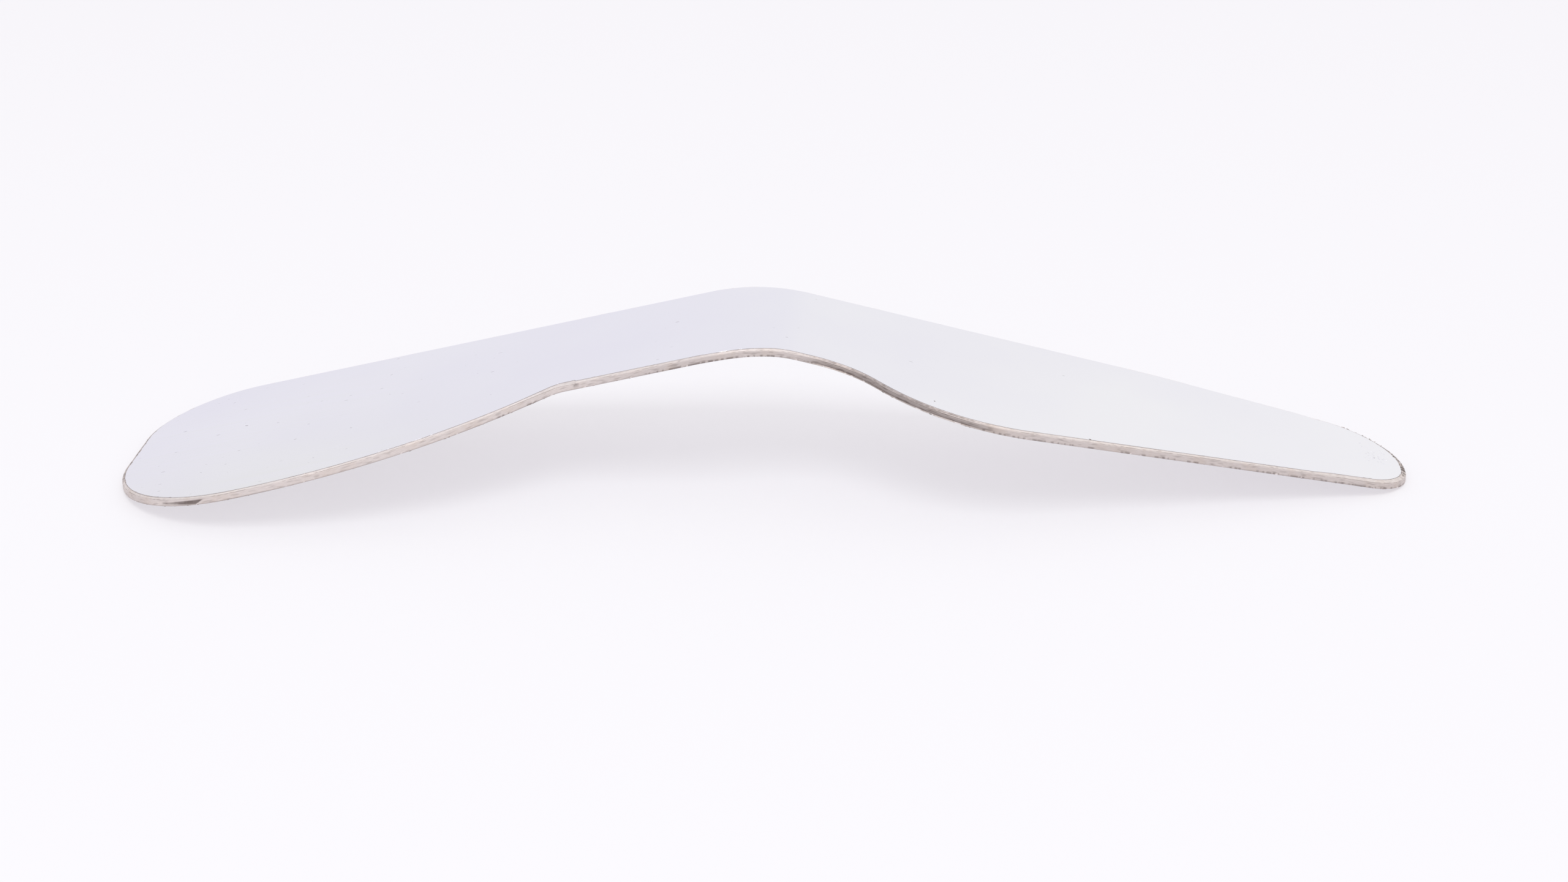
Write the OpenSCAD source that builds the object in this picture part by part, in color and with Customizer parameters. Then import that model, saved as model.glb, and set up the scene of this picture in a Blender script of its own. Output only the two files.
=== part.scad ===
// Double-ended intraoral mirror: one strip of sheet metal, bent like a low bridge
// and polished to a mirror on both faces. A broad rounded end and a narrow
// blade-like end share one straight side; the other side is scooped in to a waist
// where the strip is bent and held. It stands on its two ends.
// X runs along the straight side, Y across the strip, Z up. The origin is under the
// middle of the whole part, on the surface that it stands on.

/* [Sheet] */
// Full thickness of the strip, with both mirror layers
sheet_t = 1.1; // [0.9:0.1:1.6]
// Thickness of each mirror layer
mirror_t = 0.1; // [0.05:0.01:0.15]
// Bare ground border between a mirror layer and the strip's edge
mirror_border = 0.45; // [0.45:0.05:0.8]

/* [Bend] */
// Angle that the strip is bent through at the waist
bend_angle = 26.4; // [15:0.2:40]
// Radius of the upper surface over the bend
bend_r = 28; // [15:1:28]

/* [Broad end] */
// Length of the blank from the middle of the bend to the broad end
broad_len = 80.5; // [80.5:0.5:95]
// Width of the broad end
broad_w = 40.3; // [36:0.1:40.5]
// Corner radius of the broad end on the straight side
broad_straight_r = 13; // [6:0.5:14]
// Corner radius of the broad end on the scooped side
broad_scooped_r = 18; // [8:0.5:18]
// Radius of the broad end's shoulder, where it narrows to the waist
broad_shoulder_r = 57; // [20:1:57]
// Distance from the middle of the bend to the corner under that shoulder
broad_shoulder_x = 43.3; // [42:0.1:44.4]

/* [Waist] */
// Width of the waist between the bend and the broad end
waist_broad_w = 25.7; // [25.5:0.1:28]
// Width of the waist between the bend and the narrow end
waist_narrow_w = 23.6; // [22:0.1:24.5]
// Distance from the middle of the bend to the foot of the broad end
waist_broad_x = 23.7; // [20:0.1:24]
// Distance from the middle of the bend to the foot of the narrow end
waist_narrow_x = 12.5; // [12.3:0.1:13.6]
// Inside radius at the foot of the broad end
waist_broad_r = 3; // [1:0.5:8]
// Inside radius at the foot of the narrow end
waist_narrow_r = 11.5; // [6:0.5:11.5]
// Distance each side of the middle of the bend over which the waist changes width
waist_step_x = 4; // [3:0.5:4]

/* [Narrow end] */
// Length of the blank from the middle of the bend to the narrow end's tip
narrow_len = 84; // [80:0.5:95]
// Width at the corner under the narrow end's shoulder
narrow_w = 34.5; // [30:0.1:36]
// Distance from the middle of the bend to that corner
narrow_shoulder_x = 25.1; // [24:0.1:28]
// Radius of the narrow end's shoulder
narrow_shoulder_r = 20; // [8:1:21]
// Distance from the line of the straight side to the tip's scooped-side corner
tip_w = 19; // [18.3:0.1:22]
// Distance that the straight side drops in at the tip
tip_drop = 2.8; // [1:0.1:3.8]
// Distance from the middle of the bend to where that drop starts
tip_drop_x = 52; // [48:0.5:60]
// Tip's corner radius on the straight side
tip_straight_r = 11; // [4:0.5:11]
// Tip's corner radius on the scooped side
tip_scooped_r = 7; // [3:0.5:7]

/* [Hidden] */

// Radius of the slow curve at the start of the tip's drop
tip_drop_r = 100;
// Radius of the two slow curves where the waist changes width
waist_step_r = 12;
// Largest angle between neighbouring points of a rounded corner, in degrees
arc_step = 7.5;
// Number of short flats that make up the curve of the bend
bend_steps = 11;

// The flat blank's corners as [along the strip, across it, corner radius], across
// being 0 on the line of the straight side and growing towards the scooped side
CORNERS = [
    [-broad_len, 0, broad_straight_r],
    [tip_drop_x, 0, tip_drop_r],
    [narrow_len, tip_drop, tip_straight_r],
    [narrow_len, tip_w, tip_scooped_r],
    [narrow_shoulder_x, narrow_w, narrow_shoulder_r],
    [waist_narrow_x, waist_narrow_w, waist_narrow_r],
    [waist_step_x, waist_narrow_w, waist_step_r],
    [-waist_step_x, waist_broad_w, waist_step_r],
    [-waist_broad_x, waist_broad_w, waist_broad_r],
    [-broad_shoulder_x, broad_w, broad_shoulder_r],
    [-broad_len, broad_w, broad_scooped_r]
];

// Thickness of the strip's body, between the two mirror layers
core_t = sheet_t - 2 * mirror_t;
half_angle = bend_angle / 2;
// Length of the curved stretch on each side of the middle, along the upper surface
bend_half_len = bend_r * half_angle * PI / 180;

// A point of the flat blank, seen from above once the blank is bent: the straight
// arms foreshorten, and the scooped side comes to lie towards -Y
function bent_x(s) =
    abs(s) < bend_half_len
        ? bend_r * sin(s / bend_r * 180 / PI)
        : sign(s) * (bend_r * sin(half_angle) + (abs(s) - bend_half_len) * cos(half_angle));
function bent(p) = [bent_x(p[0]), -p[1]];

// Height of an arm at x, at the depth d below the upper surface, from the bend's top
function arm_z(x, d) = (bend_r - d) / cos(half_angle) - abs(x) * tan(half_angle) - bend_r;

// The lower corners of the body's ends, as [along, up]
body_depth = mirror_t + core_t;
broad_foot = [bent_x(-broad_len), arm_z(bent_x(-broad_len), body_depth)];
narrow_foot = [bent_x(narrow_len), arm_z(bent_x(narrow_len), body_depth)];
// Tilt along the strip that sets both ends on the ground
lean = atan2(narrow_foot[1] - broad_foot[1], narrow_foot[0] - broad_foot[0]);
// A point's [along, up] after that tilt
function leaned(p) = [
    p[0] * cos(lean) + p[1] * sin(lean),
    p[1] * cos(lean) - p[0] * sin(lean)
];
// The upper corners of the body's ends stand this far above the lower ones
body_edge = [0, core_t / cos(half_angle)];
ground_z = leaned(narrow_foot)[1];
left_x = min(leaned(broad_foot)[0], leaned(broad_foot + body_edge)[0]);
right_x = max(leaned(narrow_foot)[0], leaned(narrow_foot + body_edge)[0]);

// Unit vector from a to b, its left-hand normal, and the cross product of two
function unit(a, b) = let (d = [b[0] - a[0], b[1] - a[1]]) d / norm(d);
function left_of(u) = [-u[1], u[0]];
function turn(u, v) = u[0] * v[1] - u[1] * v[0];

// Points along one rounded corner p between its neighbours a and b
function corner_arc(a, p, b) =
    let (
        u = unit(a, p),
        v = unit(p, b),
        angle = atan2(turn(u, v), u * v),
        side = sign(angle),
        trim = p[2] * tan(abs(angle) / 2),
        start = [p[0], p[1]] - trim * u,
        centre = start + side * p[2] * left_of(u),
        steps = max(2, ceil(abs(angle) / arc_step))
    )
    [for (i = [0:steps])
        let (t = angle * i / steps, w = start - centre)
        centre + [w[0] * cos(t) - w[1] * sin(t), w[0] * sin(t) + w[1] * cos(t)]];

// The same corner moved inwards by d, its radius changed so that arcs stay parallel
function inset_corner(a, p, b, d) =
    let (
        u = unit(a, p),
        v = unit(p, b),
        bisector = left_of(u) + left_of(v),
        moved = [p[0], p[1]] + d * bisector / (1 + u * v)
    )
    [moved[0], moved[1], p[2] - d * sign(turn(u, v))];

function inset(corners, d) =
    let (n = len(corners))
    [for (i = [0:n - 1])
        inset_corner(corners[(i + n - 1) % n], corners[i], corners[(i + 1) % n], d)];

function outline(corners) =
    let (n = len(corners))
    [for (i = [0:n - 1])
        each corner_arc(corners[(i + n - 1) % n], corners[i], corners[(i + 1) % n])];

// The line of the bent strip seen from the scooped side, at the depth d below the
// upper surface: two straight arms with the curve of the bend between them
function side_line(d) =
    let (r = bend_r - d)
    [
        [-broad_len, arm_z(-broad_len, d)],
        for (i = [0:bend_steps])
            let (a = bend_angle * (i / bend_steps - 0.5))
            [r * sin(a), r * cos(a) - bend_r],
        [narrow_len, arm_z(narrow_len, d)]
    ];

function reversed(points) = [for (i = [len(points) - 1:-1:0]) points[i]];

// A layer of the strip whose upper face lies the depth top below the strip's own,
// t thick, with its outline kept the distance border inside the strip's edge
module layer(top, t, border) {
    margin = 1;
    translate([-(left_x + right_x) / 2, broad_w / 2, -ground_z])
        rotate([0, lean, 0])
            intersection() {
                translate([0, margin, 0])
                    rotate([90, 0, 0])
                        linear_extrude(broad_w + 2 * margin)
                            polygon(concat(side_line(top), reversed(side_line(top + t))));
                translate([0, 0, -narrow_len])
                    linear_extrude(2 * narrow_len)
                        polygon([for (p = outline(inset(CORNERS, border))) bent(p)]);
            }
}

// The body of the strip: its ground edge is the bare metal that shows all round
module core_plate() {
    color("rosybrown")
        layer(mirror_t, core_t, 0);
}

// The polished layer on the upper face
module upper_mirror_layer() {
    color("lavender")
        layer(0, mirror_t, mirror_border);
}

// The polished layer on the underside
module lower_mirror_layer() {
    color("lightsteelblue")
        layer(mirror_t + core_t, mirror_t, mirror_border);
}

core_plate();
upper_mirror_layer();
lower_mirror_layer();
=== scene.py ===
import math
import random
import bmesh
import bpy
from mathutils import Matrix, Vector, noise


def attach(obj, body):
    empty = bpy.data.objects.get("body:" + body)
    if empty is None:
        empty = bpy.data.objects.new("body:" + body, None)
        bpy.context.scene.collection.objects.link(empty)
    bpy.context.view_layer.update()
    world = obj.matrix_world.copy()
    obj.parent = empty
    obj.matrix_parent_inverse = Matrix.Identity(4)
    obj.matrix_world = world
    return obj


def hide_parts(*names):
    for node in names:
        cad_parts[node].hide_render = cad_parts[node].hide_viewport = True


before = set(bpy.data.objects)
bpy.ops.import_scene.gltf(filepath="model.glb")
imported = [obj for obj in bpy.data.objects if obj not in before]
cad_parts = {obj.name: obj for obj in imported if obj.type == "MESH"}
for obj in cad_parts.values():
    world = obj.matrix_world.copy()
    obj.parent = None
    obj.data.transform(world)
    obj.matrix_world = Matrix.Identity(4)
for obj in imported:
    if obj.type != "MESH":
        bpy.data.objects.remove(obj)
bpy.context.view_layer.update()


# ---------------------------------------------------------------------------
# Strip body. Sheet steel about 1 mm thick, cut to a double-ended blank and bent
# cold over a bar at the waist. Its edge was ground by hand, which left a small
# uneven chamfer above, a ragged burr below, and a few nicks and gouges.
# ---------------------------------------------------------------------------
MM = 0.001
BEND_RADIUS = 28.0
HALF_BEND = math.radians(13.2)
BEND_HALF_LENGTH = BEND_RADIUS * HALF_BEND
BROAD_LENGTH = 80.5
SLIM_LENGTH = 84.0
STRAIGHT_SIDE_Y = 20.15
BODY_DEPTH = 1.0
# The blank's corners: along the strip, across it from the straight side, radius
BLANK_CORNERS = (
    (-BROAD_LENGTH, 0.0, 13.0),
    (52.0, 0.0, 100.0),
    (SLIM_LENGTH, 2.8, 11.0),
    (SLIM_LENGTH, 19.0, 7.0),
    (25.1, 34.5, 20.0),
    (12.5, 23.6, 11.5),
    (4.0, 23.6, 12.0),
    (-4.0, 25.7, 12.0),
    (-23.7, 25.7, 3.0),
    (-43.3, 40.3, 57.0),
    (-BROAD_LENGTH, 40.3, 18.0),
)
EDGE_SPACING = 0.17
# Past this inward slope, a stretch of the edge counts as the scooped, near side
NEAR_SLOPE = -0.35
# The two faces are cut across the bend this many times on each side of its middle
BEND_CUTS = 14
# The arms get one more cut just past the bend and one about halfway along
JUST_PAST_BEND = 0.3
HALFWAY_ALONG_ARM = 45.0
SHARP_ANGLE = math.radians(24)


def side_point(along, depth):
    """The bent strip seen from the side, before it leans: along and up, in mm."""
    radius = BEND_RADIUS - depth
    reach = abs(along)
    if reach < BEND_HALF_LENGTH:
        x = BEND_RADIUS * math.sin(reach / BEND_RADIUS)
    else:
        x = BEND_RADIUS * math.sin(HALF_BEND) + (reach - BEND_HALF_LENGTH) * math.cos(HALF_BEND)
    if x < radius * math.sin(HALF_BEND):
        z = math.sqrt(radius * radius - x * x) - BEND_RADIUS
    else:
        z = radius / math.cos(HALF_BEND) - x * math.tan(HALF_BEND) - BEND_RADIUS
    return math.copysign(x, along), z


broad_foot = side_point(-BROAD_LENGTH, BODY_DEPTH)
slim_foot = side_point(SLIM_LENGTH, BODY_DEPTH)
LEAN = math.atan2(slim_foot[1] - broad_foot[1], slim_foot[0] - broad_foot[0])


def leaned(point):
    x = point[0] * math.cos(LEAN) + point[1] * math.sin(LEAN)
    z = point[1] * math.cos(LEAN) - point[0] * math.sin(LEAN)
    return x, z


GROUND = leaned(slim_foot)[1]
MIDDLE_X = (leaned(broad_foot)[0] + leaned(side_point(SLIM_LENGTH, 0.1))[0]) / 2


def strip_place(along, across, depth):
    """Where a point of the flat blank lies on the bent strip, in metres."""
    x, z = leaned(side_point(along, depth))
    return Vector((x - MIDDLE_X, STRAIGHT_SIDE_Y - across, z - GROUND)) * MM


def blank_edge(spacing):
    """Points round the blank's edge: along, across, inward normal, distance run."""
    points = []
    count = len(BLANK_CORNERS)
    arcs = []
    for i in range(count):
        before = Vector(BLANK_CORNERS[i - 1][:2])
        corner = Vector(BLANK_CORNERS[i][:2])
        after = Vector(BLANK_CORNERS[(i + 1) % count][:2])
        radius = BLANK_CORNERS[i][2]
        into = (corner - before).normalized()
        out = (after - corner).normalized()
        angle = math.atan2(into.x * out.y - into.y * out.x, into.dot(out))
        trim = radius * math.tan(abs(angle) / 2)
        start = corner - into * trim
        side = math.copysign(1.0, angle)
        centre = start + Vector((-into.y, into.x)) * side * radius
        arcs.append((start, centre, angle, radius, corner + out * trim, into, out))
    for i in range(count):
        start, centre, angle, radius, end, into, out = arcs[i]
        steps = max(3, math.ceil(radius * abs(angle) / spacing))
        for k in range(steps):
            turned = angle * k / steps
            c, s = math.cos(turned), math.sin(turned)
            arm = start - centre
            place = centre + Vector((arm.x * c - arm.y * s, arm.x * s + arm.y * c))
            heading = Vector((into.x * c - into.y * s, into.x * s + into.y * c))
            points.append((place, Vector((-heading.y, heading.x))))
        gap = arcs[(i + 1) % count][0] - end
        steps = max(1, math.ceil(gap.length / spacing))
        for k in range(steps):
            points.append((end + gap * k / steps, Vector((-out.y, out.x))))
    run = 0.0
    edge = []
    for i, (place, inward) in enumerate(points):
        if i:
            run += (place - points[i - 1][0]).length
        edge.append((place.x, place.y, inward.x, inward.y, run))
    return edge


def ramp(value, low, high):
    """0 at low and 1 at high, with a soft start and end."""
    t = min(1.0, max(0.0, (value - low) / (high - low)))
    return t * t * (3 - 2 * t)


def stretch_of(along, first, last, soft):
    """1 between first and last, fading to 0 over the soft distance outside them."""
    return ramp(along, first - soft, first) * (1 - ramp(along, last, last + soft))


def grit(run, wavelength, seed):
    """Repeatable smooth noise along the edge, from -1 to 1."""
    return noise.noise(Vector((run / wavelength, seed * 7.31, seed * 3.17)))


def loop_mesh(name, edge, rows_at, caps):
    """A closed solid whose rim is swept round the edge, rows_at giving each row's inset,
    depth and tone at a point of the edge; the tone mixes dark marks with painted shade,
    and below 0 lightens, partly as a painted highlight. Its two faces are cut across the bend."""
    mesh = bmesh.new()
    layer = mesh.loops.layers.uv.new("edge_run")
    marks_shade_and_gleam = mesh.verts.layers.float.new("marks_shade_and_gleam")
    rings = []
    for point in edge:
        ring = []
        for inset, depth, dark in rows_at(point):
            vert = mesh.verts.new((point[0] + point[2] * inset, point[1] + point[3] * inset, depth))
            vert[marks_shade_and_gleam] = dark
            ring.append(vert)
        rings.append(ring)
    total = edge[-1][4] + EDGE_SPACING
    rows = len(rings[0])
    for i in range(len(rings)):
        here, there = rings[i], rings[(i + 1) % len(rings)]
        run, next_run = edge[i][4], edge[i + 1][4] if i + 1 < len(edge) else total
        for k in range(rows - 1):
            face = mesh.faces.new((here[k], here[k + 1], there[k + 1], there[k]))
            face.smooth = True
            corners = ((run, k), (run, k + 1), (next_run, k + 1), (next_run, k))
            for loop, (u, row) in zip(face.loops, corners):
                loop[layer].uv = (u * 0.01, row / rows)
    for row in caps:
        face = mesh.faces.new([ring[row] for ring in rings])
        face.smooth = True
        for line in face.edges:
            line.smooth = False
        parts = [face]
        stations = [BEND_HALF_LENGTH * (k / BEND_CUTS - 1) for k in range(2 * BEND_CUTS + 1)]
        stations += [-BEND_HALF_LENGTH - JUST_PAST_BEND, BEND_HALF_LENGTH + JUST_PAST_BEND]
        stations += [-HALFWAY_ALONG_ARM, HALFWAY_ALONG_ARM]
        for station in stations:
            edges = list({e for f in parts for e in f.edges})
            verts = list({v for f in parts for v in f.verts})
            cut = bmesh.ops.bisect_plane(
                mesh,
                geom=verts + edges + parts,
                plane_co=(station, 0, 0),
                plane_no=(1, 0, 0),
                dist=1e-6,
            )
            parts = [f for f in cut["geom"] if isinstance(f, bmesh.types.BMFace)]
    for vert in mesh.verts:
        vert.co = strip_place(vert.co.x, vert.co.y, vert.co.z)
    bmesh.ops.recalc_face_normals(mesh, faces=mesh.faces)
    for line in mesh.edges:
        if len(line.link_faces) == 2 and line.calc_face_angle(0) > SHARP_ANGLE:
            line.smooth = False
    data = bpy.data.meshes.new(name)
    mesh.to_mesh(data)
    mesh.free()
    piece = bpy.data.objects.new(name, data)
    bpy.context.scene.collection.objects.link(piece)
    return piece


# Where the edge's marks lie along the strip, in mm from the middle of the bend
GOUGE_FROM = -71.5
GOUGE_TO = -65.9
FACET_FROM = -28.5
STEP_AT = -21.5
FLARE_FROM = 11.0
FLARE_TO = 27.0
NICKS = ((21.2, 21.7), (22.8, 23.2), (25.9, 26.6))
TIP_FROM = 74.0
# A stretch that reaches an end of the strip is closed this far out, past the end
PAST_END = 90.0
# Rows of points down the edge between its upper chamfer and its lower rim
SIDE_ROWS = 7


def tip_share(along):
    """How far a point lies on the slim tip, where the chamfer is wider."""
    return stretch_of(along, TIP_FROM, PAST_END, 3.0)


def flare_share(along, near):
    """How far a point lies on the near side's flare, where painted shade darkens the edge."""
    return stretch_of(along, FLARE_FROM, FLARE_TO, 6.0) * near


def facet_share(along, near):
    """How far a point lies on the flat that was ground just before the step."""
    return ramp(along, FACET_FROM, STEP_AT - 0.1) * (along < STEP_AT) * near


def body_rows(point):
    """The ground edge's section at one point of the rim, from the upper face to the lower.
    Each row gives inset, depth and tone; the tone carries dark marks and painted shade, and below 0
    it lightens the chamfer, as freshly ground metal and as a painted highlight."""
    along, across, inward_x, inward_y, run = point
    near = inward_y < NEAR_SLOPE
    tip = tip_share(along)
    far_tip = ramp(along, 72.0, 79.0) * (1 - ramp(across, 13.0, 18.5))
    broad_end = stretch_of(along, -PAST_END, -68.0, 8.0) * (not near)
    flare = flare_share(along, near)
    facet = facet_share(along, near)
    crack = stretch_of(along, STEP_AT, STEP_AT + 0.4, 0.25) * near
    gouge = stretch_of(along, GOUGE_FROM, GOUGE_TO, 0.3) * near
    gouge *= 0.45 + 0.55 * ramp(along, GOUGE_FROM, GOUGE_FROM + 4.0)
    coarse = grit(run, 2.2, 6)
    fine = grit(run, 0.5, 7)
    # Painted shade: the edge darkens towards the waist. It is also darker over the last few millimetres
    # of the broad end.
    waist_shade_and_tip_dark = 0.17 * ramp(along, -26.0, -8.0) + 0.14 * stretch_of(along, -PAST_END, -76.0, 4.0)
    chamfer = 0.25 + 0.05 * grit(run, 9.0, 1) + 0.03 * grit(run, 1.4, 2)
    chamfer += 0.30 * facet + 0.24 * tip - 0.05 * flare
    drop = 0.125 + 0.03 * grit(run, 6.0, 3) + 0.10 * facet + 0.03 * flare + 0.05 * tip
    wave = 0.012 + 0.010 * grit(run, 7.0, 4) + 0.006 * grit(run, 0.9, 5)
    # A broken dark line in the small groove under the mirror layer's rim, painted as the rim's shadow;
    # burr darkens it more on the slim tip's far side.
    groove_shade_and_burr = 0.12 + 0.42 * ramp(coarse + 0.7 * fine, -0.15, 0.25)
    groove_shade_and_burr += 0.30 * far_tip * ramp(fine, -0.3, 0.2)
    mid_line = 0.20 + 0.45 * ramp(grit(run, 3.1, 8) + 0.5 * grit(run, 0.45, 9), -0.15, 0.2)
    # The chamfer is lighter, as freshly ground metal and as a painted highlight. Painted shade darkens
    # it on the flare and towards the waist; burr darkens the slim tip's far side, and it is darker
    # along the broad end's far side.
    chamfer_gleam_shade_and_burr = -0.44 + 0.60 * abs(grit(run, 0.6, 14)) + 0.70 * flare + waist_shade_and_tip_dark
    chamfer_gleam_shade_and_burr += far_tip * (0.5 + 1.1 * ramp(fine + 0.4 * coarse, -0.1, 0.35))
    chamfer_gleam_shade_and_burr += broad_end * (0.45 + 0.7 * ramp(grit(run, 0.7, 15), 0.1, 0.45))
    heavy = stretch_of(along, -30.5, -26.5, 1.0) + stretch_of(along, -11.5, 3.0, 1.5)
    heavy += stretch_of(along, 28.0, PAST_END, 4.0) * 0.75 + 0.45 * stretch_of(along, 3.0, 12.0, 2.0)
    heavy = min(1.0, heavy + 0.15) * near
    dash = ramp(grit(run, 0.34, 10) + 0.6 * grit(run, 0.8, 11), 0.02, 0.18)
    nick = ramp(grit(run, 0.42, 13), 0.42, 0.55) * near
    for first, last in NICKS:
        nick = max(nick, stretch_of(along, first, last, 0.15) * near)
    burr = heavy * dash * (1 - nick)
    low_line = max(burr * 0.8, 0.40 + 0.25 * grit(run, 4.0, 12)) * (1 - nick) - 0.6 * nick
    burr_out = 0.02 * burr
    rows = [
        (0.14 + chamfer, 0.10, 0.2),
        (0.125 + chamfer, 0.10, groove_shade_and_burr),
        (0.09 + chamfer, 0.115, groove_shade_and_burr),
        (0.07 + chamfer, 0.09, groove_shade_and_burr * 0.7),
        (0.05 + chamfer, 0.045, chamfer_gleam_shade_and_burr * 0.5),
        (0.05 + chamfer * 0.55, 0.045 + drop * 0.35 + 0.02 * flare, chamfer_gleam_shade_and_burr),
        (0.055, 0.035 + drop, chamfer_gleam_shade_and_burr * 0.8),
        (0.040 + 0.02 * mid_line, 0.060 + drop, mid_line),
        (0.028 + 0.02 * mid_line, 0.085 + drop, mid_line + 0.15 * flare),
        (wave + 0.004, 0.12 + drop, 0.06 + 0.30 * flare),
    ]
    for k in range(SIDE_ROWS):
        share = (k + 1) / (SIDE_ROWS + 1)
        depth = 0.12 + drop + (0.79 - drop) * share
        pit = 0.010 * noise.noise(Vector((run / 0.5, depth / 0.12, 4.4)))
        mottle = ramp(noise.noise(Vector((run / 1.1, depth / 0.2, 9.1))), 0.12, 0.5)
        # Painted shade towards the waist and on the flare, over a mottled darker tone.
        dark = 0.05 + waist_shade_and_tip_dark + 0.24 * mottle + flare * (0.30 + 0.26 * share)
        middle = 1 - abs(share - 0.58) / (0.22 + 0.26 * ramp(along, GOUGE_FROM, GOUGE_FROM + 5.1))
        inset = wave + abs(pit)
        # Inside the gouge the band is set in a little and darkened.
        if gouge > 0 and middle > 0:
            slant = ramp(along, -65.8 - 1.2 * share, -65.5 - 1.2 * share)
            gouge_dark = (0.85 + 0.2 * grit(run, 0.35, 16)) * (1 - slant)
            inset += 0.08 * gouge * middle * (1 - slant)
            dark += gouge_dark * gouge * min(1.0, middle * 2.4)
        if crack > 0:
            inset += 0.03 * crack
            dark += 0.6 * crack * (1 - share)
        inset += flare * 0.14 * (2 * share - 1) ** 2
        if share > 0.7:
            dark += burr * (share - 0.7) * 2.6
        rows.append((inset, depth, min(0.9, dark)))
    rows += [
        (0.022 - burr_out + 0.04 * nick, 0.94, low_line),
        (0.035 - burr_out + 0.05 * nick, 0.985, max(low_line, 0.45) - nick),
        (0.09, 1.015, 0.45),
        (0.19, 1.035, 0.25),
        (0.37, 1.045, 0.1),
        (0.52, 1.0, 0.3),
    ]
    return rows


body_edge = blank_edge(EDGE_SPACING)
body = loop_mesh("strip_body", body_edge, body_rows, (0, -1))

ground_steel = bpy.data.materials.new("ground_edge_steel")
ground_steel.use_nodes = True
nodes, links = ground_steel.node_tree.nodes, ground_steel.node_tree.links
shader = nodes["Principled BSDF"]
shader.inputs["Metallic"].default_value = 1.0
edge_run = nodes.new("ShaderNodeUVMap")
edge_run.uv_map = "edge_run"
stretch = nodes.new("ShaderNodeMapping")
stretch.inputs["Scale"].default_value = (60.0, 26.0, 1.0)
links.new(edge_run.outputs["UV"], stretch.inputs["Vector"])
streaks = nodes.new("ShaderNodeTexNoise")
streaks.inputs["Scale"].default_value = 2.2
streaks.inputs["Detail"].default_value = 6.0
streaks.inputs["Roughness"].default_value = 0.62
links.new(stretch.outputs["Vector"], streaks.inputs["Vector"])
blotches = nodes.new("ShaderNodeTexNoise")
blotches.inputs["Scale"].default_value = 520.0
blotches.inputs["Detail"].default_value = 5.0
blotches.inputs["Roughness"].default_value = 0.6
place = nodes.new("ShaderNodeTexCoord")
links.new(place.outputs["Object"], blotches.inputs["Vector"])
steel_tone = nodes.new("ShaderNodeValToRGB")
steel_tone.color_ramp.elements[0].position = 0.34
steel_tone.color_ramp.elements[0].color = (0.67, 0.60, 0.57, 1)
steel_tone.color_ramp.elements[1].position = 0.66
steel_tone.color_ramp.elements[1].color = (0.88, 0.81, 0.785, 1)
links.new(streaks.outputs["Fac"], steel_tone.inputs["Fac"])
warm = nodes.new("ShaderNodeMix")
warm.data_type = "RGBA"
warm.inputs["B"].default_value = (0.74, 0.64, 0.575, 1)
warm_share = nodes.new("ShaderNodeMapRange")
warm_share.inputs["From Min"].default_value = 0.48
warm_share.inputs["From Max"].default_value = 0.72
warm_share.inputs["To Max"].default_value = 0.55
links.new(blotches.outputs["Fac"], warm_share.inputs["Value"])
links.new(warm_share.outputs["Result"], warm.inputs["Factor"])
links.new(steel_tone.outputs["Color"], warm.inputs["A"])
marks_shade_and_gleam = nodes.new("ShaderNodeAttribute")
marks_shade_and_gleam.attribute_name = "marks_shade_and_gleam"
# Above 0 the tone darkens the edge: burr, nicks and mottling, with painted shade at the waist, on the
# flare and along the rim.
dark_marks_and_shade = nodes.new("ShaderNodeMix")
dark_marks_and_shade.data_type = "RGBA"
dark_marks_and_shade.inputs["B"].default_value = (0.16, 0.125, 0.115, 1)
links.new(marks_shade_and_gleam.outputs["Fac"], dark_marks_and_shade.inputs["Factor"])
# Below 0 the tone lightens towards pale metal: freshly ground, and a painted highlight along the
# chamfer.
fresh_gleam = nodes.new("ShaderNodeMix")
fresh_gleam.data_type = "RGBA"
fresh_gleam.inputs["B"].default_value = (0.97, 0.93, 0.91, 1)
fresh_gleam_share = nodes.new("ShaderNodeMapRange")
fresh_gleam_share.inputs["From Min"].default_value = 0.0
fresh_gleam_share.inputs["From Max"].default_value = -1.0
links.new(marks_shade_and_gleam.outputs["Fac"], fresh_gleam_share.inputs["Value"])
links.new(fresh_gleam_share.outputs["Result"], fresh_gleam.inputs["Factor"])
links.new(warm.outputs["Result"], fresh_gleam.inputs["A"])
links.new(fresh_gleam.outputs["Result"], dark_marks_and_shade.inputs["A"])
links.new(dark_marks_and_shade.outputs["Result"], shader.inputs["Base Color"])
dullness = nodes.new("ShaderNodeMapRange")
dullness.inputs["To Min"].default_value = 0.34
dullness.inputs["To Max"].default_value = 0.62
links.new(blotches.outputs["Fac"], dullness.inputs["Value"])
links.new(dullness.outputs["Result"], shader.inputs["Roughness"])
grain = nodes.new("ShaderNodeBump")
grain.inputs["Strength"].default_value = 0.35
grain.inputs["Distance"].default_value = 0.00003
links.new(streaks.outputs["Fac"], grain.inputs["Height"])
links.new(grain.outputs["Normal"], shader.inputs["Normal"])
body.data.materials.append(ground_steel)
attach(body, "root")
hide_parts("core_plate")


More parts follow.
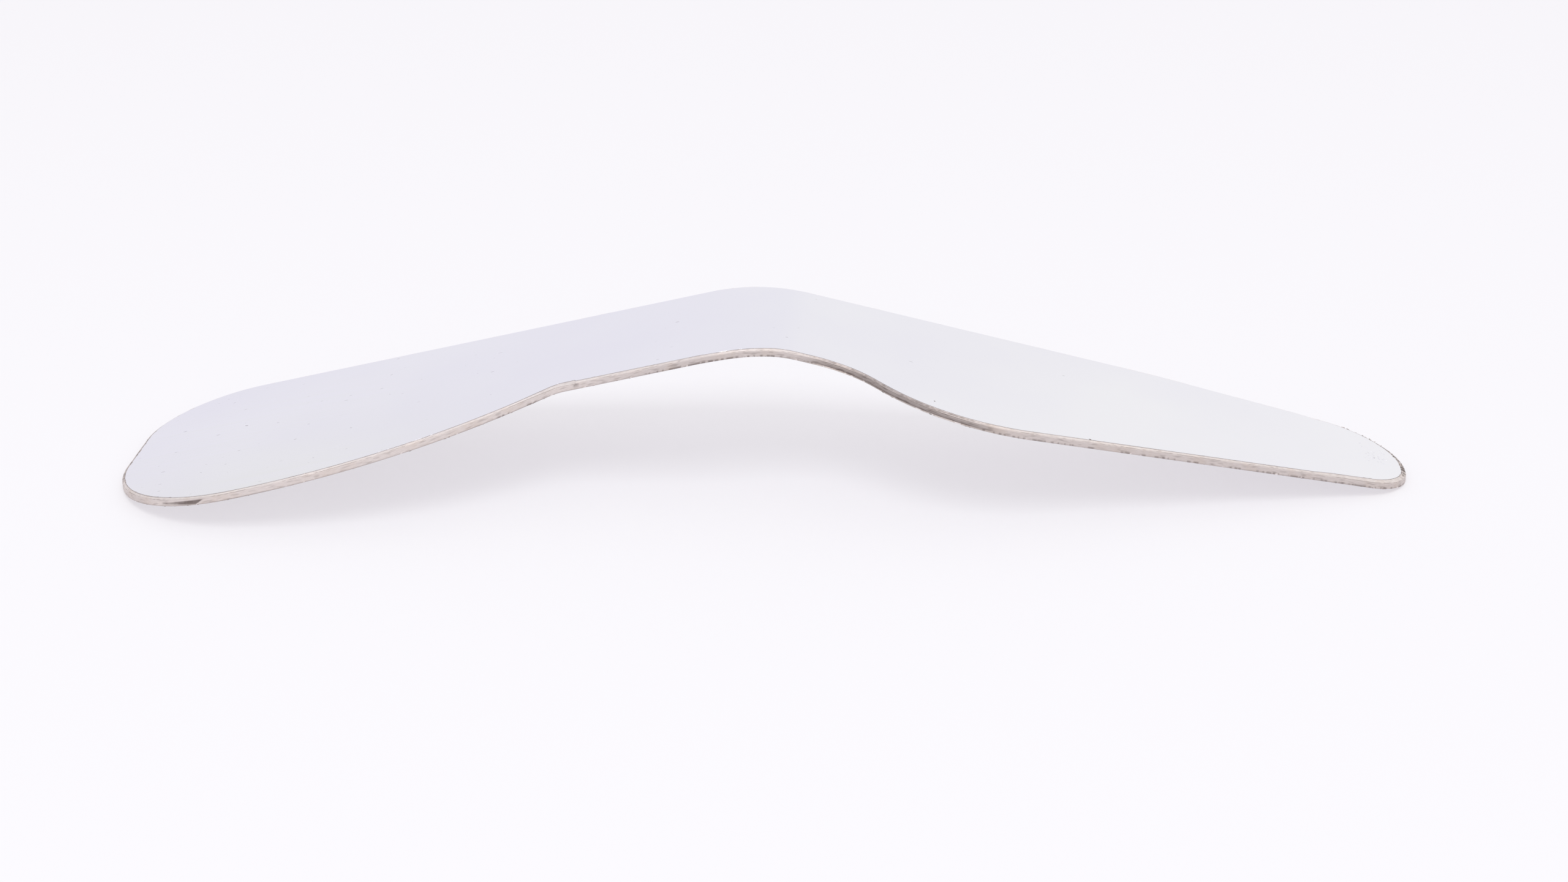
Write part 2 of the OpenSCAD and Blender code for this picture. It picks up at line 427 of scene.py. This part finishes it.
# ---------------------------------------------------------------------------
# Mirror faces, upper and lower. The sheet's own two faces, polished until they
# reflect. They show light wipe marks, a few short dark ticks where instruments
# touched them, and a slightly chipped line where the ground chamfer cuts in.
# ---------------------------------------------------------------------------
def upper_face_rows(point):
    """Rim of the upper mirror face: its side, then a small rolled corner."""
    along, across, inward_x, inward_y, run = point
    near = inward_y < NEAR_SLOPE
    chips = ramp(grit(run, 0.45, 21) + 0.5 * grit(run, 1.7, 22), 0.32, 0.55)
    more = 0.35 + 0.65 * stretch_of(along, 70.0, PAST_END, 4.0)
    more += 0.4 * stretch_of(along, -PAST_END, -55.0, 6.0)
    facet = facet_share(along, near)
    tip = tip_share(along)
    flare = flare_share(along, near)
    rim = 0.385 + 0.012 * grit(run, 3.0, 23) + 0.10 * chips * more
    rim += 0.30 * facet + 0.24 * tip - 0.05 * flare
    # The layer's side is painted dark, a painted shadow along the rim, fading over the rolled corner.
    return [
        (rim + 0.06, 0.10, 0.0),
        (rim + 0.004, 0.095, 0.4),
        (rim, 0.035, 0.4),
        (rim + 0.012, 0.016, 0.15),
        (rim + 0.035, 0.008, 0.0),
    ]


def lower_face_rows(point):
    """Rim of the lower mirror face, the same turned over."""
    run = point[4]
    chips = ramp(grit(run, 0.45, 31) + 0.5 * grit(run, 1.7, 32), 0.32, 0.55)
    rim = 0.455 + 0.012 * grit(run, 3.0, 33) + 0.08 * chips
    # Its side is painted dark in the same way.
    return [
        (rim + 0.035, 1.092, 0.0),
        (rim + 0.012, 1.084, 0.15),
        (rim, 1.065, 0.4),
        (rim + 0.004, 1.005, 0.4),
        (rim + 0.06, 1.0, 0.0),
    ]


upper_face = loop_mesh("upper_mirror_face", body_edge, upper_face_rows, (0, -1))
lower_face = loop_mesh("lower_mirror_face", body_edge, lower_face_rows, (0, -1))

mirror_polish = bpy.data.materials.new("mirror_polish")
mirror_polish.use_nodes = True
nodes, links = mirror_polish.node_tree.nodes, mirror_polish.node_tree.links
shader = nodes["Principled BSDF"]
shader.inputs["Metallic"].default_value = 1.0
place = nodes.new("ShaderNodeTexCoord")
haze = nodes.new("ShaderNodeTexNoise")
haze.inputs["Scale"].default_value = 38.0
haze.inputs["Detail"].default_value = 3.0
links.new(place.outputs["Object"], haze.inputs["Vector"])
silver = nodes.new("ShaderNodeValToRGB")
silver.color_ramp.elements[0].position = 0.36
silver.color_ramp.elements[0].color = (0.905, 0.900, 0.945, 1)
silver.color_ramp.elements[1].position = 0.66
silver.color_ramp.elements[1].color = (0.930, 0.930, 0.955, 1)
links.new(haze.outputs["Fac"], silver.inputs["Fac"])
# Short dark ticks, thinning out towards the slim end
tick_lie = nodes.new("ShaderNodeMapping")
tick_lie.inputs["Rotation"].default_value = (0, 0, math.radians(-44))
tick_lie.inputs["Scale"].default_value = (190.0, 640.0, 0.0)
tick_bend = nodes.new("ShaderNodeTexNoise")
tick_bend.inputs["Scale"].default_value = 130.0
links.new(place.outputs["Object"], tick_bend.inputs["Vector"])
tick_sway = nodes.new("ShaderNodeVectorMath")
tick_sway.operation = "MULTIPLY_ADD"
tick_sway.inputs[1].default_value = (0.004, 0.004, 0.0)
links.new(tick_bend.outputs["Color"], tick_sway.inputs[0])
links.new(place.outputs["Object"], tick_sway.inputs[2])
links.new(tick_sway.outputs["Vector"], tick_lie.inputs["Vector"])
ticks = nodes.new("ShaderNodeTexVoronoi")
ticks.voronoi_dimensions = "2D"
ticks.inputs["Scale"].default_value = 1.0
links.new(tick_lie.outputs["Vector"], ticks.inputs["Vector"])
tick_lot = nodes.new("ShaderNodeSeparateColor")
links.new(ticks.outputs["Color"], tick_lot.inputs["Color"])
tick_reach = nodes.new("ShaderNodeMapRange")
tick_reach.inputs["To Min"].default_value = 0.012
tick_reach.inputs["To Max"].default_value = 0.046
links.new(tick_lot.outputs["Green"], tick_reach.inputs["Value"])
tick_body = nodes.new("ShaderNodeMath")
tick_body.operation = "LESS_THAN"
links.new(ticks.outputs["Distance"], tick_body.inputs[0])
links.new(tick_reach.outputs["Result"], tick_body.inputs[1])
tick_depth = nodes.new("ShaderNodeMapRange")
tick_depth.inputs["To Min"].default_value = 0.25
links.new(tick_lot.outputs["Blue"], tick_depth.inputs["Value"])
tick_seen = nodes.new("ShaderNodeMath")
tick_seen.operation = "MULTIPLY"
links.new(tick_body.outputs["Value"], tick_seen.inputs[0])
links.new(tick_depth.outputs["Result"], tick_seen.inputs[1])
along_x = nodes.new("ShaderNodeSeparateXYZ")
links.new(place.outputs["Object"], along_x.inputs["Vector"])
tick_share = nodes.new("ShaderNodeMapRange")
tick_share.inputs["From Min"].default_value = -0.060
tick_share.inputs["From Max"].default_value = 0.010
tick_share.inputs["To Min"].default_value = 0.68
tick_share.inputs["To Max"].default_value = 0.955
links.new(along_x.outputs["X"], tick_share.inputs["Value"])
tick_kept = nodes.new("ShaderNodeMath")
tick_kept.operation = "GREATER_THAN"
links.new(tick_lot.outputs["Red"], tick_kept.inputs[0])
links.new(tick_share.outputs["Result"], tick_kept.inputs[1])
tick_mask = nodes.new("ShaderNodeMath")
tick_mask.operation = "MULTIPLY"
links.new(tick_seen.outputs["Value"], tick_mask.inputs[0])
links.new(tick_kept.outputs["Value"], tick_mask.inputs[1])
# Painted shadow along the mirror faces' rims, from the tone attribute, joins the ticks.
rim_shade = nodes.new("ShaderNodeAttribute")
rim_shade.attribute_name = "marks_shade_and_gleam"
marks = nodes.new("ShaderNodeMath")
marks.operation = "MAXIMUM"
links.new(tick_mask.outputs["Value"], marks.inputs[0])
links.new(rim_shade.outputs["Fac"], marks.inputs[1])
ticked_and_rim_shaded = nodes.new("ShaderNodeMix")
ticked_and_rim_shaded.data_type = "RGBA"
ticked_and_rim_shaded.inputs["B"].default_value = (0.42, 0.40, 0.41, 1)
links.new(marks.outputs["Value"], ticked_and_rim_shaded.inputs["Factor"])
links.new(silver.outputs["Color"], ticked_and_rim_shaded.inputs["A"])
links.new(ticked_and_rim_shaded.outputs["Result"], shader.inputs["Base Color"])
# Faint wipe marks along the strip, seen only as a change of gloss
wipe_lie = nodes.new("ShaderNodeMapping")
wipe_lie.inputs["Rotation"].default_value = (0, 0, math.radians(9))
wipe_lie.inputs["Scale"].default_value = (40.0, 1500.0, 40.0)
links.new(place.outputs["Object"], wipe_lie.inputs["Vector"])
wipes = nodes.new("ShaderNodeTexNoise")
wipes.inputs["Scale"].default_value = 1.0
wipes.inputs["Detail"].default_value = 4.0
links.new(wipe_lie.outputs["Vector"], wipes.inputs["Vector"])
gloss = nodes.new("ShaderNodeMapRange")
gloss.inputs["From Min"].default_value = 0.35
gloss.inputs["From Max"].default_value = 0.75
gloss.inputs["To Min"].default_value = 0.035
gloss.inputs["To Max"].default_value = 0.13
links.new(wipes.outputs["Fac"], gloss.inputs["Value"])
links.new(gloss.outputs["Result"], shader.inputs["Roughness"])
for face, node_name in ((upper_face, "upper_mirror_layer"), (lower_face, "lower_mirror_layer")):
    face.data.materials.append(mirror_polish)
    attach(face, "root")
    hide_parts(node_name)


# ---------------------------------------------------------------------------
# Burr crumbs. Torn specks of dark metal left along the lower rim by grinding,
# never brushed off. They stand at most a few hundredths of a millimetre proud.
# ---------------------------------------------------------------------------
def rim_path(name, first, last, near, inset, depth):
    """A stretch of the rim as a line of edges, at one inset and depth."""
    line = bmesh.new()
    previous = None
    for along, across, inward_x, inward_y, run in body_edge:
        on_side = (inward_y < NEAR_SLOPE) if near else (inward_y > NEAR_SLOPE)
        if on_side and first < along < last:
            spot = strip_place(along + inward_x * inset, across + inward_y * inset, depth)
            vert = line.verts.new(spot)
            if previous is not None and (vert.co - previous.co).length < 0.002:
                line.edges.new((previous, vert))
            previous = vert
    data = bpy.data.meshes.new(name)
    line.to_mesh(data)
    line.free()
    path = bpy.data.objects.new(name, data)
    bpy.context.scene.collection.objects.link(path)
    return path


def crumb_tree(name):
    """Specks scattered along a line: spaced, thinned out, stretched along it, jittered."""
    tree = bpy.data.node_groups.new(name, "GeometryNodeTree")
    face = tree.interface
    face.new_socket("Geometry", in_out="INPUT", socket_type="NodeSocketGeometry")
    for label, kind in (
        ("Spacing", "NodeSocketFloat"),
        ("Share kept", "NodeSocketFloat"),
        ("Smallest", "NodeSocketVector"),
        ("Largest", "NodeSocketVector"),
        ("Scatter", "NodeSocketVector"),
        ("Seed", "NodeSocketInt"),
        ("Metal", "NodeSocketMaterial"),
    ):
        face.new_socket(label, in_out="INPUT", socket_type=kind)
    face.new_socket("Geometry", in_out="OUTPUT", socket_type="NodeSocketGeometry")
    made, join = tree.nodes, tree.links.new
    given = made.new("NodeGroupInput")
    result = made.new("NodeGroupOutput")
    curve = made.new("GeometryNodeMeshToCurve")
    join(given.outputs["Geometry"], curve.inputs["Mesh"])
    spaced = made.new("GeometryNodeResampleCurve")
    spaced.mode = "LENGTH"
    join(curve.outputs["Curve"], spaced.inputs["Curve"])
    join(given.outputs["Spacing"], spaced.inputs["Length"])
    jitter = made.new("FunctionNodeRandomValue")
    jitter.data_type = "FLOAT_VECTOR"
    flip = made.new("ShaderNodeVectorMath")
    flip.operation = "SCALE"
    flip.inputs["Scale"].default_value = -1.0
    join(given.outputs["Scatter"], flip.inputs[0])
    join(flip.outputs["Vector"], jitter.inputs["Min"])
    join(given.outputs["Scatter"], jitter.inputs["Max"])
    join(given.outputs["Seed"], jitter.inputs["Seed"])
    tangent = made.new("GeometryNodeInputTangent")
    speck = made.new("GeometryNodeMeshIcoSphere")
    speck.inputs["Radius"].default_value = 1.0
    speck.inputs["Subdivisions"].default_value = 2
    turn = made.new("FunctionNodeAlignRotationToVector")
    turn.axis = "X"
    join(tangent.outputs["Tangent"], turn.inputs["Vector"])
    size = made.new("FunctionNodeRandomValue")
    size.data_type = "FLOAT_VECTOR"
    join(given.outputs["Smallest"], size.inputs["Min"])
    join(given.outputs["Largest"], size.inputs["Max"])
    join(given.outputs["Seed"], size.inputs["Seed"])
    keep = made.new("FunctionNodeRandomValue")
    keep.data_type = "BOOLEAN"
    join(given.outputs["Share kept"], keep.inputs["Probability"])
    join(given.outputs["Seed"], keep.inputs["Seed"])
    strew = made.new("GeometryNodeInstanceOnPoints")
    join(spaced.outputs["Curve"], strew.inputs["Points"])
    join(speck.outputs["Mesh"], strew.inputs["Instance"])
    join(turn.outputs["Rotation"], strew.inputs["Rotation"])
    join(size.outputs["Value"], strew.inputs["Scale"])
    join(keep.outputs["Value"], strew.inputs["Selection"])
    shift = made.new("GeometryNodeTranslateInstances")
    shift.inputs["Local Space"].default_value = False
    join(strew.outputs["Instances"], shift.inputs["Instances"])
    join(jitter.outputs["Value"], shift.inputs["Translation"])
    real = made.new("GeometryNodeRealizeInstances")
    join(shift.outputs["Instances"], real.inputs["Geometry"])
    where = made.new("GeometryNodeInputPosition")
    rough = made.new("ShaderNodeTexNoise")
    rough.inputs["Scale"].default_value = 9000.0
    join(where.outputs["Position"], rough.inputs["Vector"])
    centred = made.new("ShaderNodeVectorMath")
    centred.operation = "SUBTRACT"
    centred.inputs[1].default_value = (0.5, 0.5, 0.5)
    join(rough.outputs["Color"], centred.inputs[0])
    small = made.new("ShaderNodeVectorMath")
    small.operation = "SCALE"
    small.inputs["Scale"].default_value = 0.00005
    join(centred.outputs["Vector"], small.inputs[0])
    ragged = made.new("GeometryNodeSetPosition")
    join(real.outputs["Geometry"], ragged.inputs["Geometry"])
    join(small.outputs["Vector"], ragged.inputs["Offset"])
    coat = made.new("GeometryNodeSetMaterial")
    join(ragged.outputs["Geometry"], coat.inputs["Geometry"])
    join(given.outputs["Metal"], coat.inputs["Material"])
    join(coat.outputs["Geometry"], result.inputs["Geometry"])
    return tree


def strew_crumbs(name, path, values):
    """Runs the crumb tree on a path, keeps the result as a plain mesh, drops the path."""
    modifier = path.modifiers.new("crumbs", "NODES")
    modifier.node_group = crumbs_along_rim
    for item in crumbs_along_rim.interface.items_tree:
        if item.name in values and item.in_out == "INPUT":
            modifier[item.identifier] = values[item.name]
    bpy.context.view_layer.update()
    graph = bpy.context.evaluated_depsgraph_get()
    data = bpy.data.meshes.new_from_object(path.evaluated_get(graph), depsgraph=graph)
    data.name = name
    path.modifiers.clear()
    bpy.data.objects.remove(path)
    piece = bpy.data.objects.new(name, data)
    bpy.context.scene.collection.objects.link(piece)
    return piece


burr_metal = bpy.data.materials.new("torn_burr_metal")
burr_metal.use_nodes = True
nodes, links = burr_metal.node_tree.nodes, burr_metal.node_tree.links
shader = nodes["Principled BSDF"]
shader.inputs["Metallic"].default_value = 0.85
shader.inputs["Roughness"].default_value = 0.55
place = nodes.new("ShaderNodeTexCoord")
patches = nodes.new("ShaderNodeTexNoise")
patches.inputs["Scale"].default_value = 1500.0
patches.inputs["Detail"].default_value = 3.0
links.new(place.outputs["Object"], patches.inputs["Vector"])
burr_tone = nodes.new("ShaderNodeValToRGB")
burr_tone.color_ramp.elements[0].position = 0.38
burr_tone.color_ramp.elements[0].color = (0.17, 0.145, 0.135, 1)
burr_tone.color_ramp.elements[1].position = 0.62
burr_tone.color_ramp.elements[1].color = (0.50, 0.42, 0.39, 1)
links.new(patches.outputs["Fac"], burr_tone.inputs["Fac"])
links.new(burr_tone.outputs["Color"], shader.inputs["Base Color"])

crumbs_along_rim = crumb_tree("crumbs_along_rim")
burr_path = rim_path("burr_path", -76.0, 82.0, True, 0.075, 0.965)
burr_crumbs = strew_crumbs(
    "burr_crumbs",
    burr_path,
    {
        "Spacing": 0.00050,
        "Share kept": 0.42,
        "Smallest": (0.00006, 0.00003, 0.00002),
        "Largest": (0.00024, 0.00006, 0.00005),
        "Scatter": (0.0001, 0.00001, 0.00002),
        "Seed": 5,
        "Metal": burr_metal,
    },
)
tip_path = rim_path("tip_path", 77.0, 85.0, False, 0.40, 0.085)
tip_crumbs = strew_crumbs(
    "tip_crumbs",
    tip_path,
    {
        "Spacing": 0.00020,
        "Share kept": 0.6,
        "Smallest": (0.00004, 0.00004, 0.000015),
        "Largest": (0.00016, 0.00010, 0.000035),
        "Scatter": (0.00018, 0.00018, 0.00001),
        "Seed": 11,
        "Metal": burr_metal,
    },
)
for crumbs in (burr_crumbs, tip_crumbs):
    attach(crumbs, "root")


# ---------------------------------------------------------------------------
# Grime and scuffs. Two dried dark grains stuck to the polished upper face, one of
# them on its rim, and a patch of fine scuffs that wear has left inside the slim tip.
# ---------------------------------------------------------------------------
def flat_marks(name, spots, rise):
    """Flattened grains in one mesh; each spot gives along, across, length, width, turn."""
    grains = bmesh.new()
    for along, across, length, width, turn_by in spots:
        made = bmesh.ops.create_icosphere(grains, subdivisions=3, radius=1.0)
        for vert in made["verts"]:
            lump = 1 + 0.35 * noise.noise(vert.co * 1.3 + Vector((along, across, 0)))
            x = vert.co.x * lump * length
            y = vert.co.y * lump * width
            c, s = math.cos(turn_by), math.sin(turn_by)
            depth = 0.012 - rise * vert.co.z * lump
            vert.co = strip_place(along + x * c - y * s, across + x * s + y * c, depth)
    # strip_place mirrors what it bends, so the faces are turned outwards again
    bmesh.ops.reverse_faces(grains, faces=grains.faces)
    for face in grains.faces:
        face.smooth = True
    data = bpy.data.meshes.new(name)
    grains.to_mesh(data)
    grains.free()
    piece = bpy.data.objects.new(name, data)
    bpy.context.scene.collection.objects.link(piece)
    return piece


def lumpy_finish(name, dark, pale, metallic, roughness):
    """A finish that varies between two tones from grain to grain."""
    finish = bpy.data.materials.new(name)
    finish.use_nodes = True
    made, join = finish.node_tree.nodes, finish.node_tree.links.new
    surface = made["Principled BSDF"]
    surface.inputs["Metallic"].default_value = metallic
    surface.inputs["Roughness"].default_value = roughness
    spot = made.new("ShaderNodeTexCoord")
    lumps = made.new("ShaderNodeTexNoise")
    lumps.inputs["Scale"].default_value = 9000.0
    join(spot.outputs["Object"], lumps.inputs["Vector"])
    tone = made.new("ShaderNodeValToRGB")
    tone.color_ramp.elements[0].color = dark
    tone.color_ramp.elements[1].color = pale
    join(lumps.outputs["Fac"], tone.inputs["Fac"])
    join(tone.outputs["Color"], surface.inputs["Base Color"])
    return finish


grime_specks = flat_marks(
    "grime_specks",
    (
        (23.46, 29.0, 0.11, 0.09, 0.4),
        (42.7, 29.4, 0.15, 0.09, 0.2),
    ),
    0.030,
)
dried_grime = lumpy_finish("dried_grime", (0.07, 0.055, 0.05, 1), (0.24, 0.20, 0.18, 1), 0.0, 0.8)
grime_specks.data.materials.append(dried_grime)
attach(grime_specks, "root")

SCUFF_COUNT = 44
SCUFF_ALONG = 80.4
SCUFF_ACROSS = 11.2
# Scuffs stay within this reach of a point inside the tip, so none hangs over the rim
TIP_INSIDE = (73.0, 13.8)
SCUFF_REACH = 9.7
scuff_draw = random.Random(7)
scuffs = []
for scuff in range(SCUFF_COUNT):
    scuff_along = scuff_draw.gauss(SCUFF_ALONG, 0.9)
    scuff_across = scuff_draw.gauss(SCUFF_ACROSS, 1.4)
    scuff_length = scuff_draw.uniform(0.07, 0.20)
    scuff_turn = scuff_draw.uniform(-0.6, 0.9)
    if math.hypot(scuff_along - TIP_INSIDE[0], scuff_across - TIP_INSIDE[1]) < SCUFF_REACH:
        scuffs.append((scuff_along, scuff_across, scuff_length, 0.028, scuff_turn))
tip_scuffs = flat_marks("tip_scuffs", scuffs, 0.018)
scuffed_polish = lumpy_finish("scuffed_polish", (0.60, 0.59, 0.64, 1), (0.80, 0.79, 0.84, 1), 1.0, 0.30)
tip_scuffs.data.materials.append(scuffed_polish)
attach(tip_scuffs, "root")


# ---------------------------------------------------------------------------
# Stage. A plain pale table top under even, pale light, with one large soft panel
# overhead and a little to the front, so that shadows lie close beneath the strip.
# ---------------------------------------------------------------------------
floor_mesh = bpy.data.meshes.new("pale_floor")
floor_mesh.from_pydata([(-4, -4, 0), (4, -4, 0), (4, 4, 0), (-4, 4, 0)], [], [(0, 1, 2, 3)])
floor = bpy.data.objects.new("pale_floor", floor_mesh)
bpy.context.scene.collection.objects.link(floor)
floor_paint = bpy.data.materials.new("pale_floor_paint")
floor_paint.use_nodes = True
floor_shader = floor_paint.node_tree.nodes["Principled BSDF"]
floor_shader.inputs["Base Color"].default_value = (0.400, 0.416, 0.428, 1)
floor_shader.inputs["Emission Color"].default_value = (0.500, 0.470, 0.486, 1)
floor_shader.inputs["Emission Strength"].default_value = 1.0
floor_shader.inputs["Roughness"].default_value = 0.9
floor_shader.inputs["Specular IOR Level"].default_value = 0.1
floor_mesh.materials.append(floor_paint)

world = bpy.data.worlds.new("studio_world")
bpy.context.scene.world = world
world.use_nodes = True
sky_nodes, sky_links = world.node_tree.nodes, world.node_tree.links
sky_way = sky_nodes.new("ShaderNodeTexCoord")
sky_axes = sky_nodes.new("ShaderNodeSeparateXYZ")
sky_links.new(sky_way.outputs["Generated"], sky_axes.inputs["Vector"])
sky_side = sky_nodes.new("ShaderNodeMapRange")
sky_side.inputs["From Min"].default_value = -0.40
sky_side.inputs["From Max"].default_value = 0.30
sky_links.new(sky_axes.outputs["X"], sky_side.inputs["Value"])
sky_tone = sky_nodes.new("ShaderNodeValToRGB")
sky_tone.color_ramp.elements[0].position = 0.0
sky_tone.color_ramp.elements[0].color = (0.845, 0.830, 0.895, 1)
sky_tone.color_ramp.elements[1].position = 1.0
sky_tone.color_ramp.elements[1].color = (0.935, 0.930, 0.935, 1)
sky_middle = sky_tone.color_ramp.elements.new(0.60)
sky_middle.color = (0.868, 0.860, 0.903, 1)
sky_right = sky_tone.color_ramp.elements.new(0.82)
sky_right.color = (0.906, 0.898, 0.914, 1)
sky_links.new(sky_side.outputs["Result"], sky_tone.inputs["Fac"])
sky_slope = sky_nodes.new("ShaderNodeMath")
sky_slope.operation = "MULTIPLY_ADD"
sky_slope.inputs[1].default_value = -0.24
sky_links.new(sky_axes.outputs["X"], sky_slope.inputs[0])
sky_links.new(sky_axes.outputs["Z"], sky_slope.inputs[2])
sky_low = sky_nodes.new("ShaderNodeMapRange")
sky_low.inputs["From Min"].default_value = 0.300
sky_low.inputs["From Max"].default_value = 0.311
sky_links.new(sky_slope.outputs["Value"], sky_low.inputs["Value"])
sky_left = sky_nodes.new("ShaderNodeMapRange")
sky_left.inputs["From Min"].default_value = -0.27
sky_left.inputs["From Max"].default_value = -0.37
sky_links.new(sky_axes.outputs["X"], sky_left.inputs["Value"])
sky_patch = sky_nodes.new("ShaderNodeMath")
sky_patch.operation = "MULTIPLY"
sky_links.new(sky_low.outputs["Result"], sky_patch.inputs[0])
sky_links.new(sky_left.outputs["Result"], sky_patch.inputs[1])
sky_mix = sky_nodes.new("ShaderNodeMix")
sky_mix.data_type = "RGBA"
sky_mix.blend_type = "MULTIPLY"
sky_mix.inputs["B"].default_value = (0.985, 0.995, 0.935, 1)
sky_links.new(sky_patch.outputs["Value"], sky_mix.inputs["Factor"])
sky_links.new(sky_tone.outputs["Color"], sky_mix.inputs["A"])
sky_links.new(sky_mix.outputs["Result"], sky_nodes["Background"].inputs["Color"])
sky_nodes["Background"].inputs["Strength"].default_value = 1.0


def soft_panel(name, place, aim, size, power, colour):
    """One large square light panel turned towards a point."""
    lamp = bpy.data.lights.new(name, "AREA")
    lamp.shape = "SQUARE"
    lamp.size = size
    lamp.energy = power
    lamp.color = colour
    panel = bpy.data.objects.new(name, lamp)
    panel.location = place
    panel.rotation_mode = "QUATERNION"
    panel.rotation_quaternion = (Vector(aim) - Vector(place)).to_track_quat("-Z", "Y")
    bpy.context.scene.collection.objects.link(panel)
    return panel


soft_panel("overhead_panel", (0.0, -0.55, 1.0), (0, 0, 0), 0.6, 4.4, (1.0, 0.99, 0.98))

camera_data = bpy.data.cameras.new("studio_camera")
camera_data.sensor_width = 36.0
camera_data.lens = 68.359
camera_data.clip_start = 0.01
camera_data.clip_end = 30.0
camera = bpy.data.objects.new("studio_camera", camera_data)
bpy.context.scene.collection.objects.link(camera)
look_at = Vector((0.001574, 0.014127, 0.0))
swing, rise, reach = math.radians(3.671), math.radians(21.282), 0.38545
back = Vector((math.sin(swing) * math.cos(rise), -math.cos(swing) * math.cos(rise), math.sin(rise)))
camera.location = look_at + back * reach
camera.rotation_mode = "QUATERNION"
camera.rotation_quaternion = (-back).to_track_quat("-Z", "Y")
bpy.context.scene.camera = camera
bpy.context.scene.view_settings.view_transform = "Standard"
bpy.context.scene.view_settings.look = "None"
